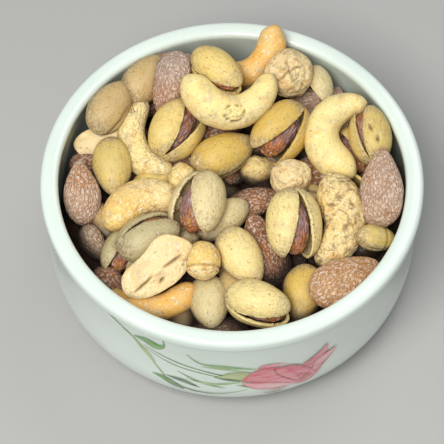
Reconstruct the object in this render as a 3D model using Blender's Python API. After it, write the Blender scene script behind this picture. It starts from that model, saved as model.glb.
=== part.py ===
"""A round white bowl filled with mixed salted nuts.

The bowl is one turned solid. The nuts are a second solid: a low core that follows the
bowl's inside, with the nuts that show laid on it one by one and fused to it.
Lengths are in millimetres up to the point where a mesh is made, and metres from there.
The origin is at the middle of the foot ring's underside, and +Z is up.
"""

from math import copysign, cos, pi, radians, sin

import bpy
import bmesh
from mathutils import Matrix, Vector
from mathutils.bvhtree import BVHTree

MM = 0.001

# The bowl, in millimetres
RIM_TOP = 50.0
RIM_R = 60.0
LIP_HEIGHT = 4.6
LIP_WIDTH = 5.7
LIP_CROWN = 2.4
LIP_SQUARENESS = 0.65
LIP_EDGE = 0.45
WALL_R = 59.2
WALL = 4.2
SHOULDER_Z = 22.0
FOOT_R = 42.0
FOOT_WIDTH = 3.5
FOOT_HEIGHT = 1.8
FOOT_SPLAY = 1.0
FLOOR_TOP = 6.5
ROUNDNESS = 2.5
BOWL_SIDES = 48

# The heap
GAP = 0.45
CORE_Z = 31.0
CORE_SIDES = 26
CORE_RINGS = 9
CORE_REACH = 22.0
CORE_MARGIN = 2.0
LEVEL = 0.1
SINK = 1.0
OVERLAP = 0.08
TINY = 0.005
PASSES = 4
LOOKED_FROM = Vector((0.0, -334.8, 577.2))
DROP_FROM = 24.0
DROP_STEP = 0.5
PUSHES = 8
PUSH_SPARE = 1.02

# Each nut that shows, deepest first. x and y, in mm, are where the line of sight to its
# middle crosses the rim's plane. Then come the heading of its tip, the rise of its tip and
# the roll about its long axis, in degrees, its length in mm (along the arc for a cashew),
# and a last angle: how far an open shell gapes, or how far a cashew bends.
# A layer's name is followed by the lowest its nuts' middles sink, in mm above the foot, and
# by the share of their size that touches: nuts lie closer together further down.
LAYERS = {
    ("lower", 36.0, 0.62): (
        ("almond", 28.2, 25.5, 0, 5, 20, 23, 0),
        ("almond", 35.2, 27.5, 80, 0, 10, 21, 0),
        ("almond", -5.5, 16.8, 15, 0, 0, 20, 0),
        ("almond", -15.0, 4.5, -30, 0, 0, 18, 0),
        ("almond", 6.1, -10.3, 20, 10, -10, 20, 0),
        ("almond", 28.5, 2.0, 20, 0, 0, 22, 0),
        ("almond", -46.5, 4.9, 17, 0, 30, 18, 0),
        ("closed", -23.0, -4.5, 10, 0, 0, 18, 0),
        ("round", 7.8, 1.9, 0, 0, 0, 11, 0),
        ("open", -3.0, -16.2, 40, 0, -60, 19, 20),
        ("closed", -6.5, -45.5, -84, 8, 0, 20, 0),
        ("almond", -36.0, -40.0, -50, 0, 0, 16, 0),
        ("open", -32.8, -28.5, -108, 8, -15, 18, 18),
        ("almond", -42.2, -25.0, -60, 0, 30, 14, 0),
        ("shell", -40.2, -17.1, -62, 0, 20, 16, 0),
        ("cashew", -23.5, -44.5, 185, 0, -10, 31, 120),
        ("shell", 38.8, -9.1, -69, 0, -150, 19, 0),
        ("open", 37.5, 8.6, -62, 0, 20, 18, 24),
        ("almond", 10.2, -27.8, 110, 20, 10, 26, 0),
        ("round", -13.6, -23.2, 30, 0, 0, 9, 0),
        ("closed", 21.5, -42.4, -98, -10, 0, 20, 0),
    ),
    ("middle", 41.0, 0.72): (
        ("half cashew", -43.0, 12.0, 10, 12, 25, 17, 60),
        ("closed", -37.4, 3.0, -86, -8, 0, 20, 0),
        ("fat cashew", 30.6, -17.0, -94, -18, 0, 32, 150),
        ("closed", -3.0, 7.5, 28, 4, 0, 22, 0),
        ("fat cashew", -26.8, -12.6, 22, 0, 15, 28, 150),
        ("closed", 2.9, -29.5, -60, -8, 0, 21, 0),
        ("closed", 45.8, -22.8, 10, -25, 0, 13.5, 0),
        ("round", 18.5, -0.7, 0, 0, 0, 13.5, 0),
        ("cashew", -26.9, 12.5, 112, 18, 0, 33, 150),
        ("almond", -46.5, -6.9, 97, 25, 20, 21, 0),
        ("open", -25.6, -22.6, 32, 0, -28, 21, 14),
        ("round", -15.5, -1.4, 90, 10, 0, 10, 0),
        ("open", 8.1, -45.8, -21, 0, 80, 21, 13),
        ("almond", 35.8, -38.2, 31, 0, 15, 24.5, 0),
    ),
    ("back", 47.5, 0.72): (
        ("shell", 29.0, 36.0, -70, 0, -40, 15, 0),
        ("almond", -16.5, 42.0, 160, 0, 30, 20, 0),
        ("closed", -28.4, 36.4, 57, 4, 35, 20, 0),
        ("closed", -40.0, 26.2, 60, 6, 35, 20.5, 0),
        ("open", 44.2, 15.6, 100, 10, -40, 19.5, 12),
        ("almond", 48.0, -4.6, 88, 22, -30, 25.5, 0),
    ),
    ("rim", 49.5, 0.80): (
        ("cashew", 5.3, 45.5, 202, -30, -25, 31, 160),
    ),
    ("upper", 45.0, 0.80): (
        ("round", -8.7, -30.6, 90, 15, 0, 12, 0),
        ("half cashew", -23.4, -32.8, 217, -20, -25, 24.5, 60),
        ("almond", -20.2, 34.6, -103, -15, 30, 23, 0),
        ("open", -5.2, 39.6, -43, 0, 74, 20.5, 9),
        ("round", 17.8, 39.0, 0, 0, 30, 16.5, 0),
        ("cashew", -0.6, 31.2, 1, 0, 208, 38, 185),
        ("open", -17.6, 16.6, 61, 8, 42, 21, 26),
        ("open", 15.7, 16.4, -130, -18, -44, 21.5, 24),
        ("cashew", 34.6, 15.6, 80, 20, 0, 37, 210),
        ("open", -10.6, -10.8, -104, -8, 40, 22, 32),
        ("open", 19.2, -17.4, -86, -20, -26, 22.5, 22),
    ),
}

# How wide and how thick each kind is beside its length, and how much slimmer its tip is
WIDTH = {"almond": 0.58, "closed": 0.64, "open": 0.62, "shell": 0.66, "round": 0.94}
THICKNESS = {"almond": 0.38, "closed": 0.60, "open": 0.60, "shell": 0.30, "round": 0.86}
TAPER = {"almond": 0.30, "closed": 0.16, "open": 0.12, "shell": 0.12, "round": 0.04, "cashew": 0.18}

# A cashew's width beside its length along the arc, its thickness beside its width, and the
# height of the cut face of a half one beside its rounded back
CASHEW_WIDTH = {"cashew": 0.30, "fat cashew": 0.42, "half cashew": 0.54}
CASHEW_FLAT = {"cashew": 1.0, "fat cashew": 0.85, "half cashew": 0.60}
CUT_FACE = 0.35
BLUNTNESS = 3.0

# The seed of an open shell beside the shell's length, and what each degree of gape adds in mm
SEED_LENGTH = 0.80
SEED_WIDTH = 0.36
SEED_THICKNESS = 0.48
SEED_SHIFT = 0.04
SEED_PER_DEGREE = 0.03


def remove_everything():
    for thing in list(bpy.data.objects):
        bpy.data.objects.remove(thing)


def material(name, colour, roughness):
    made = bpy.data.materials.new(name)
    made.use_nodes = True
    shader = made.node_tree.nodes["Principled BSDF"]
    shader.inputs["Base Color"].default_value = (*colour, 1.0)
    shader.inputs["Roughness"].default_value = roughness
    shader.inputs["Metallic"].default_value = 0.0
    return made


def curve_in(share):
    """How far the wall has turned in, 0 to 1, at a share of the way down its round stretch."""
    return 1.0 - (1.0 - share**ROUNDNESS) ** (1.0 / ROUNDNESS)


def round_stretch(top_r, low_r, top_z, low_z, steps):
    """The wall's turn from upright to flat, from its top point down to its lowest one."""
    points = []
    for step in range(steps + 1):
        share = sin(0.5 * pi * step / steps)
        points.append((top_r - (top_r - low_r) * curve_in(share), top_z - (top_z - low_z) * share))
    return points


def inner_radius(z):
    """The radius of the bowl's inside at a height."""
    wall_r = WALL_R - WALL
    if z >= SHOULDER_Z:
        return min(wall_r, RIM_R - LIP_WIDTH)
    share = min((SHOULDER_Z - z) / (SHOULDER_Z - FLOOR_TOP), 1.0)
    return wall_r - (wall_r - FOOT_R + FOOT_WIDTH) * curve_in(share)


def lip(steps=6):
    """The lip from its inner lower corner over the nearly flat top to its outer lower corner."""
    half = LIP_WIDTH / 2
    middle_r = RIM_R - half
    low_z = RIM_TOP - LIP_HEIGHT
    points = [(WALL_R - WALL, low_z)]
    for step in range(steps + 1):
        turn = pi * (1.0 - step / steps)
        across = copysign(abs(cos(turn)) ** LIP_SQUARENESS, cos(turn))
        height = abs(sin(turn)) ** LIP_SQUARENESS
        points.append((middle_r + half * across, RIM_TOP - LIP_CROWN * (1.0 - height)))
    points.append((RIM_R, low_z + LIP_EDGE))
    points.append((WALL_R, low_z - LIP_EDGE))
    return points


def bowl_profile():
    """Half of the bowl's section, from the axis inside, over the lip, to the axis below."""
    inside = round_stretch(WALL_R - WALL, FOOT_R - FOOT_WIDTH, SHOULDER_Z, FLOOR_TOP, 5)
    outside = round_stretch(WALL_R, FOOT_R + FOOT_SPLAY, SHOULDER_Z, FOOT_HEIGHT, 7)
    foot = [
        (FOOT_R, 0.0),
        (FOOT_R - FOOT_WIDTH, 0.0),
        (FOOT_R - FOOT_WIDTH - FOOT_SPLAY, FOOT_HEIGHT),
    ]
    return [(0.0, FLOOR_TOP)] + inside[::-1] + lip() + outside + foot + [(0.0, FOOT_HEIGHT)]


def turned(name, profile, sides):
    """A closed solid turned round Z from a profile whose two ends lie on the axis."""
    bm = bmesh.new()
    rings = []
    for r, z in profile:
        if r == 0.0:
            rings.append([bm.verts.new((0.0, 0.0, z * MM))])
            continue
        turns = [2 * pi * side / sides for side in range(sides)]
        rings.append([bm.verts.new((r * cos(a) * MM, r * sin(a) * MM, z * MM)) for a in turns])
    for upper, lower in zip(rings, rings[1:]):
        for side in range(sides):
            corners = [
                upper[side % len(upper)],
                lower[side % len(lower)],
                lower[(side + 1) % len(lower)],
                upper[(side + 1) % len(upper)],
            ]
            bm.faces.new(dict.fromkeys(corners))
    bmesh.ops.recalc_face_normals(bm, faces=bm.faces)
    return finished_object(name, bm)


def finished_object(name, bm):
    """A mesh object made of triangles, which keeps the union of such solids clean."""
    bmesh.ops.triangulate(bm, faces=bm.faces)
    mesh = bpy.data.meshes.new(name)
    bm.to_mesh(mesh)
    bm.free()
    made = bpy.data.objects.new(name, mesh)
    bpy.context.scene.collection.objects.link(made)
    return made


def ball(around, along):
    """A unit sphere of triangles with its poles on X, a few sides around and along."""
    bm = bmesh.new()
    upright = Matrix.Rotation(pi / 2, 4, "Y")
    bmesh.ops.create_uvsphere(bm, u_segments=around, v_segments=along, radius=1.0, matrix=upright)
    bmesh.ops.triangulate(bm, faces=bm.faces)
    return bm


def shaped(bm, form):
    """Move each point of a unit ball to where a form puts it, in millimetres."""
    for point in bm.verts:
        point.co = Vector(form(point.co))
    return bm


def nut_body(kind, length):
    """An almond, a closed pistachio or a round nut: a ball drawn out towards its tip."""
    half = length / 2
    wide = half * WIDTH[kind]
    thick = half * THICKNESS[kind]
    taper = TAPER[kind]

    def form(p):
        slim = 1.0 - taper * p.x - taper / 2 * p.x * p.x
        return (p.x * half, p.y * wide * slim, p.z * thick * slim)

    return shaped(ball(7, 6), form)


def half_shell(length, side, gape):
    """One half of an open shell, swung out from the hinge at its blunt end."""
    half = length / 2
    wide = half * WIDTH["open"]
    thick = half * THICKNESS["open"]
    swing = Matrix.Rotation(side * radians(gape) / 2, 3, "Z")
    hinge = Vector((-half, 0.0, 0.0))

    def form(p):
        slim = 1.0 - TAPER["open"] * p.x
        across = side * max(side * p.y, -OVERLAP)
        place = Vector((p.x * half, across * wide * slim, p.z * thick * slim))
        return swing @ (place - hinge) + hinge

    return shaped(ball(8, 6), form)


def kernel(length, gape):
    """The seed between two open halves."""
    half = SEED_LENGTH / 2 * length
    wide = SEED_WIDTH / 2 * length + SEED_PER_DEGREE * gape
    thick = SEED_THICKNESS / 2 * length

    def form(p):
        return (p.x * half + SEED_SHIFT * length, p.y * wide, p.z * thick)

    return shaped(ball(6, 5), form)


def blunt_end(x):
    """How much thicker a cashew is than a plain ball, at a place along it: its ends are blunt."""
    if abs(x) >= 1.0:
        return 1.0
    return (1.0 - abs(x) ** BLUNTNESS) ** (1.0 / BLUNTNESS) / (1.0 - x * x) ** 0.5


def cashew(kind, length, bend):
    """A kidney: a ball drawn out along an arc that bulges towards +Y."""
    arc_r = length / radians(bend)
    chord = arc_r * (1.0 + cos(radians(bend) / 2)) / 2
    wide = CASHEW_WIDTH[kind] / 2 * length
    thick = wide * CASHEW_FLAT[kind]

    def form(p):
        slim = (1.0 - TAPER["cashew"] * p.x) * blunt_end(p.x)
        turn = p.x * radians(bend) / 2
        reach = arc_r + p.y * wide * slim
        face = CUT_FACE if kind == "half cashew" and p.z > 0.0 else 1.0
        return (reach * sin(turn), reach * cos(turn) - chord, p.z * thick * slim * face)

    return shaped(ball(7, 8), form)


def nut_solids(kind, length, angle):
    """The closed solids that make up one nut, about its own middle."""
    if kind == "open":
        halves = [half_shell(length, side, angle) for side in (-1, 1)]
        return halves + [kernel(length, angle)]
    if kind in CASHEW_WIDTH:
        return [cashew(kind, length, angle)]
    return [nut_body(kind, length)]


def turn_of(heading, rise, roll):
    pose = Matrix.Rotation(radians(heading), 3, "Z")
    pose = pose @ Matrix.Rotation(radians(-rise), 3, "Y")
    return pose @ Matrix.Rotation(radians(roll), 3, "X")


def clear_of_wall(points, place):
    """Move a place inwards until every point about it stays inside the bowl."""
    for _ in range(PUSHES):
        worst = 0.0
        inward = Vector((0.0, 0.0, 0.0))
        for point in points:
            at = point + place
            if at.z > RIM_TOP + GAP:
                continue
            radius = Vector((at.x, at.y, 0.0))
            excess = radius.length - (inner_radius(at.z) - GAP)
            if excess > worst:
                worst = excess
                inward = -radius.normalized() * excess
        if worst == 0.0:
            break
        place = place + inward * PUSH_SPARE
    return place


def tree_of(solids, place, scale):
    points = []
    faces = []
    for bm in solids:
        start = len(points)
        bm.verts.index_update()
        points += [point.co * scale + place for point in bm.verts]
        faces += [[start + corner.index for corner in face.verts] for face in bm.faces]
    return BVHTree.FromPolygons(points, faces)


def overlaps(tree, laid):
    return any(tree.overlap(other) for other in laid)


def settle(solids, x, y, floor, touch, laid):
    """Let a nut down its line of sight until it rests on a nut laid before it, or the floor."""
    target = Vector((x, y, RIM_TOP))
    sight = (LOOKED_FROM - target).normalized()
    points = [point.co for bm in solids for point in bm.verts]
    resting = clear_of_wall(points, target + sight * DROP_FROM)
    distance = DROP_FROM
    while resting.z > floor:
        distance -= DROP_STEP
        place = clear_of_wall(points, target + sight * distance)
        if overlaps(tree_of(solids, place, touch), laid):
            break
        resting = place
    return resting


def core_profile():
    """Half of the core's section: the bowl's inside less a small gap, under a flat top."""
    edge_r = WALL_R - WALL - GAP
    top = [(edge_r * ring / CORE_RINGS, CORE_Z) for ring in range(CORE_RINGS + 1)]
    low = round_stretch(WALL_R - WALL, FOOT_R - FOOT_WIDTH, SHOULDER_Z, FLOOR_TOP, 5)
    side = [(r - GAP, z + GAP) for r, z in low]
    return top + side + [(0.0, FLOOR_TOP + GAP)]


def raise_core(core, laid):
    """Lift the core's top until it just enters the underside of the nut above each point."""
    for point in core.data.vertices:
        x, y, z = (value / MM for value in point.co)
        if abs(z - CORE_Z) > LEVEL or (x * x + y * y) ** 0.5 > WALL_R - WALL - CORE_MARGIN:
            continue
        above = [tree.ray_cast(Vector((x, y, z)), Vector((0.0, 0.0, 1.0)), CORE_REACH) for tree in laid]
        heights = [hit[0].z for hit in above if hit[0] is not None]
        if heights:
            point.co.z = (min(heights) + SINK) * MM


def posed(kind, heading, rise, roll, length, angle):
    solids = nut_solids(kind, length, angle)
    pose = turn_of(heading, rise, roll)
    for bm in solids:
        bmesh.ops.rotate(bm, verts=bm.verts, cent=(0.0, 0.0, 0.0), matrix=pose)
    return solids


def add_pieces(pieces, solids, place):
    """Put a nut's solids in the collection as objects, in metres."""
    for bm in solids:
        bmesh.ops.translate(bm, verts=bm.verts, vec=place)
        bmesh.ops.scale(bm, verts=bm.verts, vec=(MM, MM, MM))
        mesh = bpy.data.meshes.new("nut")
        bm.to_mesh(mesh)
        bm.free()
        pieces.objects.link(bpy.data.objects.new("nut", mesh))


def lay_nuts(core):
    """Lay every nut in turn and return their solids as objects in one collection."""
    pieces = bpy.data.collections.new("nuts")
    bm = bmesh.new()
    bm.from_mesh(core.data)
    bmesh.ops.scale(bm, verts=bm.verts, vec=(1 / MM, 1 / MM, 1 / MM))
    laid = [tree_of([bm], Vector((0.0, 0.0, 0.0)), 1.0)]
    whole = []
    bm.free()
    for (layer, floor, touch), nuts in LAYERS.items():
        for kind, x, y, heading, rise, roll, length, angle in nuts:
            solids = posed(kind, heading, rise, roll, length, angle)
            place = settle(solids, x, y, floor, touch, laid)
            laid.append(tree_of(solids, place, touch))
            whole.append(tree_of(solids, place, 1.0))
            print(layer, kind, tuple(round(value, 1) for value in place))
            add_pieces(pieces, solids, place)
    raise_core(core, whole)
    return pieces


def drop_scraps(bm):
    """Delete every body but the largest: loose bits, and the skins of hollows, which fills them."""
    unseen = set(bm.faces)
    bodies = []
    while unseen:
        front = [unseen.pop()]
        body = list(front)
        while front:
            face = front.pop()
            for edge in face.edges:
                for other in edge.link_faces:
                    if other in unseen:
                        unseen.remove(other)
                        front.append(other)
                        body.append(other)
        bodies.append(body)
    bodies.sort(key=len)
    for body in bodies[:-1]:
        bmesh.ops.delete(bm, geom=body, context="FACES")
    bare = [edge for edge in bm.edges if not edge.link_faces]
    bmesh.ops.delete(bm, geom=bare, context="EDGES")


def keep_largest_body(mesh):
    """Tidy the union: one body, with no slivers and no points part way along an edge."""
    bm = bmesh.new()
    bm.from_mesh(mesh)
    drop_scraps(bm)
    bmesh.ops.dissolve_degenerate(bm, dist=TINY * MM, edges=bm.edges)
    for _ in range(PASSES):
        passed = [point for point in bm.verts if len(point.link_edges) == 2]
        bmesh.ops.dissolve_verts(bm, verts=passed)
    drop_scraps(bm)
    bmesh.ops.triangulate(bm, faces=bm.faces)
    bm.to_mesh(mesh)
    bm.free()


def fuse(core, pieces):
    """One union of the core with every nut, applied, after which the pieces are removed."""
    union = core.modifiers.new("fuse", "BOOLEAN")
    union.operation = "UNION"
    union.operand_type = "COLLECTION"
    union.collection = pieces
    union.solver = "MANIFOLD"
    bpy.context.scene.collection.children.link(pieces)
    bpy.context.view_layer.update()
    evaluated = core.evaluated_get(bpy.context.evaluated_depsgraph_get())
    fused = bpy.data.meshes.new_from_object(evaluated)
    core.modifiers.clear()
    core.data = fused
    for piece in list(pieces.objects):
        bpy.data.objects.remove(piece)
    bpy.data.collections.remove(pieces)
    keep_largest_body(fused)


def main():
    remove_everything()
    bowl = turned("bowl", bowl_profile(), BOWL_SIDES)
    bowl.data.materials.append(material("white glaze", (0.80, 0.84, 0.79), 0.12))
    bowl.data.shade_smooth()
    bowl.data.set_sharp_from_angle(angle=radians(40))
    heap = turned("nut_heap", core_profile(), CORE_SIDES)
    fuse(heap, lay_nuts(heap))
    heap.data.materials.clear()
    heap.data.materials.append(material("salted nuts", (0.62, 0.43, 0.22), 0.65))
    print("triangles", [sum(len(f.vertices) - 2 for f in o.data.polygons) for o in (bowl, heap)])


main()
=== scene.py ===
# %% [markdown]
# # A bowl of mixed salted nuts
#
# The object is a small white glazed bowl, heaped with salted pistachios, cashews, almonds
# and a few round floury nuts. A printed sprig with a pink bud runs across the side of the
# bowl that faces the camera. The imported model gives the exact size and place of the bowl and
# of the heap, and this lesson dresses both: it turns a smoother bowl, and it replaces the
# plain heap with nuts that have shells, seeds, wrinkles and salt.

# %% Load the frame
from math import atan2, copysign, cos, exp, hypot, pi, radians, sin
from random import Random

import bmesh
import bpy
from mathutils import Matrix, Vector, noise
from mathutils.bvhtree import BVHTree


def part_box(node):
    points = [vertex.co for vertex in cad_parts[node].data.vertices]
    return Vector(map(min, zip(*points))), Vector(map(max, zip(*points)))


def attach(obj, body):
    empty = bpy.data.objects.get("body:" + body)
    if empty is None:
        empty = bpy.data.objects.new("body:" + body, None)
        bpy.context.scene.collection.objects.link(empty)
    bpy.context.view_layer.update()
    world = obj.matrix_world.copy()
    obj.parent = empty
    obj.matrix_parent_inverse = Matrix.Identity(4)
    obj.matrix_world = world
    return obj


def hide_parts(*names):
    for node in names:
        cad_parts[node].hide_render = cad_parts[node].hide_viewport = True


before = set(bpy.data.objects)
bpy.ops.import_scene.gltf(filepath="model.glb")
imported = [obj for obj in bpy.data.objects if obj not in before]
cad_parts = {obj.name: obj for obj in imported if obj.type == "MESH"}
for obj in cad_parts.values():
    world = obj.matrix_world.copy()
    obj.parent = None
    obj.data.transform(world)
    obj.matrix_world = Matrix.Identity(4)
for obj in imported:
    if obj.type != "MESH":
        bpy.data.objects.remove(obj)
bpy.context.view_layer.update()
MM = 0.001

# %% [markdown]
# ## The bowl's sizes
#
# Lengths are in millimetres until a mesh is finished, because that is how nuts and bowls are
# measured. The rim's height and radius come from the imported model, so they can't drift. The
# other sizes are the bowl's driving dimensions.

# %% Sizes
bowl_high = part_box("bowl")[1]
RIM_TOP = round(bowl_high[2] / MM, 3)
RIM_R = round(bowl_high[0] / MM, 1)
LIP_HEIGHT = 4.6
LIP_WIDTH = 5.7
LIP_CROWN = 2.4
LIP_SQUARENESS = 0.65
WALL_R = RIM_R - 0.8
WALL = 4.2
SHOULDER_Z = 22.0
FOOT_R = 42.0
FOOT_WIDTH = 3.5
FOOT_HEIGHT = 1.8
FOOT_SPLAY = 1.0
FLOOR_TOP = 6.5
ROUNDNESS = 2.5
UNDER_LIP = ((0.0, 0.9), (0.08, 0.5), (0.3, 0.2))
WALL_TOP = ((0.12, 0.0), (0.0, 0.45))
print("rim", RIM_R, "mm in radius,", RIM_TOP, "mm high")

# %% [markdown]
# ## The camera and the light
#
# The photo was taken with a long lens from about 0.6 m, looking down at 58 degrees. The lens
# is given by its focal length in picture widths. A big soft lamp above and in front, a weak
# one from behind and a pale sky give the even light of a room.

# %% Camera and light
LOOKED_FROM = Vector((0.0, -334.8, 577.2))
AIMED_AT = Vector((-2.95, -17.1, 50.0))
PICTURE_WIDTHS = 2000 / 444
SENSOR = 36.0

scene = bpy.context.scene
scene.view_settings.view_transform = "Standard"
camera = bpy.data.objects.new("camera", bpy.data.cameras.new("camera"))
scene.collection.objects.link(camera)
scene.camera = camera
camera.data.sensor_width = SENSOR
camera.data.lens = PICTURE_WIDTHS * SENSOR
camera.location = LOOKED_FROM * MM
camera.rotation_euler = (AIMED_AT - LOOKED_FROM).to_track_quat("-Z", "Y").to_euler()


def soft_lamp(name, place, aim, size, power, colour):
    lamp = bpy.data.objects.new(name, bpy.data.lights.new(name, "AREA"))
    lamp.data.size = size
    lamp.data.energy = power
    lamp.data.color = colour
    lamp.location = place
    lamp.rotation_euler = (Vector(aim) - Vector(place)).to_track_quat("-Z", "Y").to_euler()
    scene.collection.objects.link(lamp)


soft_lamp("ceiling", (-0.22, -0.48, 0.90), (0, 0, 0.04), 0.50, 10.7, (1.0, 0.985, 0.95))
soft_lamp("window", (0.35, 0.45, 0.85), (0, 0, 0.04), 0.50, 1.6, (0.97, 0.99, 1.0))
sky = bpy.data.worlds.new("room light")
sky.use_nodes = True
sky.node_tree.nodes["Background"].inputs["Color"].default_value = (0.80, 0.82, 0.83, 1.0)
sky.node_tree.nodes["Background"].inputs["Strength"].default_value = 0.36
scene.world = sky

# %% [markdown]
# ## Shader helpers
#
# Every finish below is a network of nodes. A few small helpers keep the recipes short: they
# add a node and wire it, mix two colours, do a sum, tint by a mask, read an attribute, set a
# range and stretch a pattern. Colours are written as a painter picks them, 0 to 255, and
# turned into the linear values that the shader wants.

# %% Shader helpers
def tone(red, green, blue):
    """A picked colour as a linear one."""
    return tuple((value / 255.0) ** 2.2 for value in (red, green, blue)) + (1.0,)


def add(tree, kind, inputs, **settings):
    """A node with its settings, whose inputs are set to values or wired to other sockets."""
    made = tree.nodes.new(kind)
    for name, value in settings.items():
        setattr(made, name, value)
    for name, value in inputs.items():
        if isinstance(value, bpy.types.NodeSocket):
            tree.links.new(value, made.inputs[name])
        else:
            made.inputs[name].default_value = value
    return made


def mixed(tree, factor, first, second):
    """The socket of a colour mix."""
    return add(tree, "ShaderNodeMix", {0: factor, 6: first, 7: second}, data_type="RGBA").outputs[2]


def summed(tree, operation, first, second, third=0.0, clamp=False):
    """The socket of a sum. MULTIPLY_ADD adds the third value to the product of the others."""
    inputs = {0: first, 1: second, 2: third}
    made = add(tree, "ShaderNodeMath", inputs, operation=operation, use_clamp=clamp)
    return made.outputs[0]


def tinted(tree, body, mask, amount, colour):
    """Mix a colour over the body, by a share of a mask."""
    return mixed(tree, summed(tree, "MULTIPLY", mask, amount), body, colour)


def read(tree, name, socket):
    """A socket that reads one of the nuts' own attributes."""
    made = add(tree, "ShaderNodeAttribute", {}, attribute_name=name)
    return made.outputs[socket]


def ranged(tree, value, low, high, start=0.0, end=1.0, curve="LINEAR"):
    """Turn a stretch of a value into another stretch, straight or with soft ends."""
    inputs = {"Value": value, "From Min": low, "From Max": high, "To Min": start, "To Max": end}
    made = add(tree, "ShaderNodeMapRange", inputs, interpolation_type=curve)
    return made.outputs["Result"]


def stretched(tree, vector, scale):
    return add(tree, "ShaderNodeMapping", {"Vector": vector, "Scale": scale}).outputs["Vector"]


# %% [markdown]
# ## Shared effects
#
# Three effects turn up on most of the nuts, so each is a node group built once. Patches picks
# out soft-edged areas, such as dried salt or a toasted spot. Grain is the height of a fine
# rough surface, for the bump. Net draws the lines between bent cells, for wrinkles and cracks,
# and says how high the cells stand between them. On a nut all three read its own space in
# millimetres, so the pattern follows each nut however it lies.

# %% Node groups
def new_group(name, inputs, outputs):
    group = bpy.data.node_groups.new(name, "ShaderNodeTree")
    for label, kind, value in inputs:
        socket = group.interface.new_socket(label, in_out="INPUT", socket_type=kind)
        if value is not None:
            socket.default_value = value
    for label in outputs:
        group.interface.new_socket(label, in_out="OUTPUT", socket_type="NodeSocketFloat")
    return group, group.nodes.new("NodeGroupInput"), group.nodes.new("NodeGroupOutput")


def make_patches():
    settings = [
        ("Vector", "NodeSocketVector", None),
        ("Scale", "NodeSocketFloat", 1.0),
        ("From", "NodeSocketFloat", 0.45),
        ("To", "NodeSocketFloat", 0.6),
        ("Detail", "NodeSocketFloat", 3.0),
    ]
    group, given, result = new_group("Patches", settings, ["Mask"])
    inputs = {name: given.outputs[name] for name in ("Vector", "Scale", "Detail")}
    cloud = add(group, "ShaderNodeTexNoise", inputs).outputs["Fac"]
    low = given.outputs["From"]
    high = given.outputs["To"]
    group.links.new(ranged(group, cloud, low, high, curve="SMOOTHSTEP"), result.inputs["Mask"])
    return group


PIT_SHARE = 0.35


def make_grain():
    settings = [("Vector", "NodeSocketVector", None), ("Scale", "NodeSocketFloat", 2.0)]
    group, given, result = new_group("Grain", settings, ["Height"])
    inputs = {name: given.outputs[name] for name in ("Vector", "Scale")}
    soft = add(group, "ShaderNodeTexNoise", inputs | {"Detail": 4.0})
    pits = add(group, "ShaderNodeTexVoronoi", inputs, feature="F1")
    height = summed(group, "MULTIPLY_ADD", pits.outputs["Distance"], PIT_SHARE, soft.outputs["Fac"])
    group.links.new(height, result.inputs["Height"])
    return group


NET_BEND = (1.3, 1.3, 1.3)
PILLOW_EDGE = 0.30


def make_net():
    settings = [
        ("Vector", "NodeSocketVector", None),
        ("Scale", "NodeSocketFloat", 1.0),
        ("Width", "NodeSocketFloat", 0.12),
    ]
    group, given, result = new_group("Net", settings, ["Line", "Height"])
    vector = given.outputs["Vector"]
    scale = given.outputs["Scale"]
    swirl = add(group, "ShaderNodeTexNoise", {"Vector": vector, "Scale": scale, "Detail": 3.0})
    inputs = {0: swirl.outputs["Color"], 1: NET_BEND}
    shift = add(group, "ShaderNodeVectorMath", inputs, operation="MULTIPLY")
    bent = add(group, "ShaderNodeVectorMath", {0: vector, 1: shift.outputs[0]}, operation="ADD")
    inputs = {"Vector": bent.outputs[0], "Scale": scale}
    cells = add(group, "ShaderNodeTexVoronoi", inputs, feature="DISTANCE_TO_EDGE")
    far = cells.outputs["Distance"]
    line = ranged(group, far, given.outputs["Width"], 0.0, curve="SMOOTHSTEP")
    pillow = ranged(group, far, 0.0, PILLOW_EDGE, curve="SMOOTHERSTEP")
    group.links.new(line, result.inputs["Line"])
    group.links.new(pillow, result.inputs["Height"])
    return group


PATCHES = make_patches()
GRAIN = make_grain()
NET = make_net()
print("node groups:", [group.name for group in bpy.data.node_groups])


# %% Use the groups
def patches(tree, vector, scale, low, high, detail=3.0):
    inputs = {"Vector": vector, "Scale": scale, "From": low, "To": high, "Detail": detail}
    return add(tree, "ShaderNodeGroup", inputs, node_tree=PATCHES).outputs["Mask"]


def spotted(tree, body, vector, spots):
    """Lay patches over a colour. A spot is (scale, low, high, detail, amount, colour)."""
    for scale, low, high, detail, amount, colour in spots:
        body = tinted(tree, body, patches(tree, vector, scale, low, high, detail), amount, colour)
    return body


def grain(tree, vector, scale):
    inputs = {"Vector": vector, "Scale": scale}
    return add(tree, "ShaderNodeGroup", inputs, node_tree=GRAIN).outputs["Height"]


def net(tree, vector, scale, width):
    inputs = {"Vector": vector, "Scale": scale, "Width": width}
    made = add(tree, "ShaderNodeGroup", inputs, node_tree=NET)
    return made.outputs["Line"], made.outputs["Height"]


def new_material(name, roughness):
    made = bpy.data.materials.new(name)
    made.use_nodes = True
    shader = made.node_tree.nodes["Principled BSDF"]
    shader.inputs["Roughness"].default_value = roughness
    return made, made.node_tree, shader


def bump(tree, shader, height, distance, strength=1.0):
    inputs = {"Height": height, "Distance": distance * MM, "Strength": strength}
    made = add(tree, "ShaderNodeBump", inputs)
    tree.links.new(made.outputs["Normal"], shader.inputs["Normal"])


print("materials are built from", len(bpy.data.node_groups), "shared effects")
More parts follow.
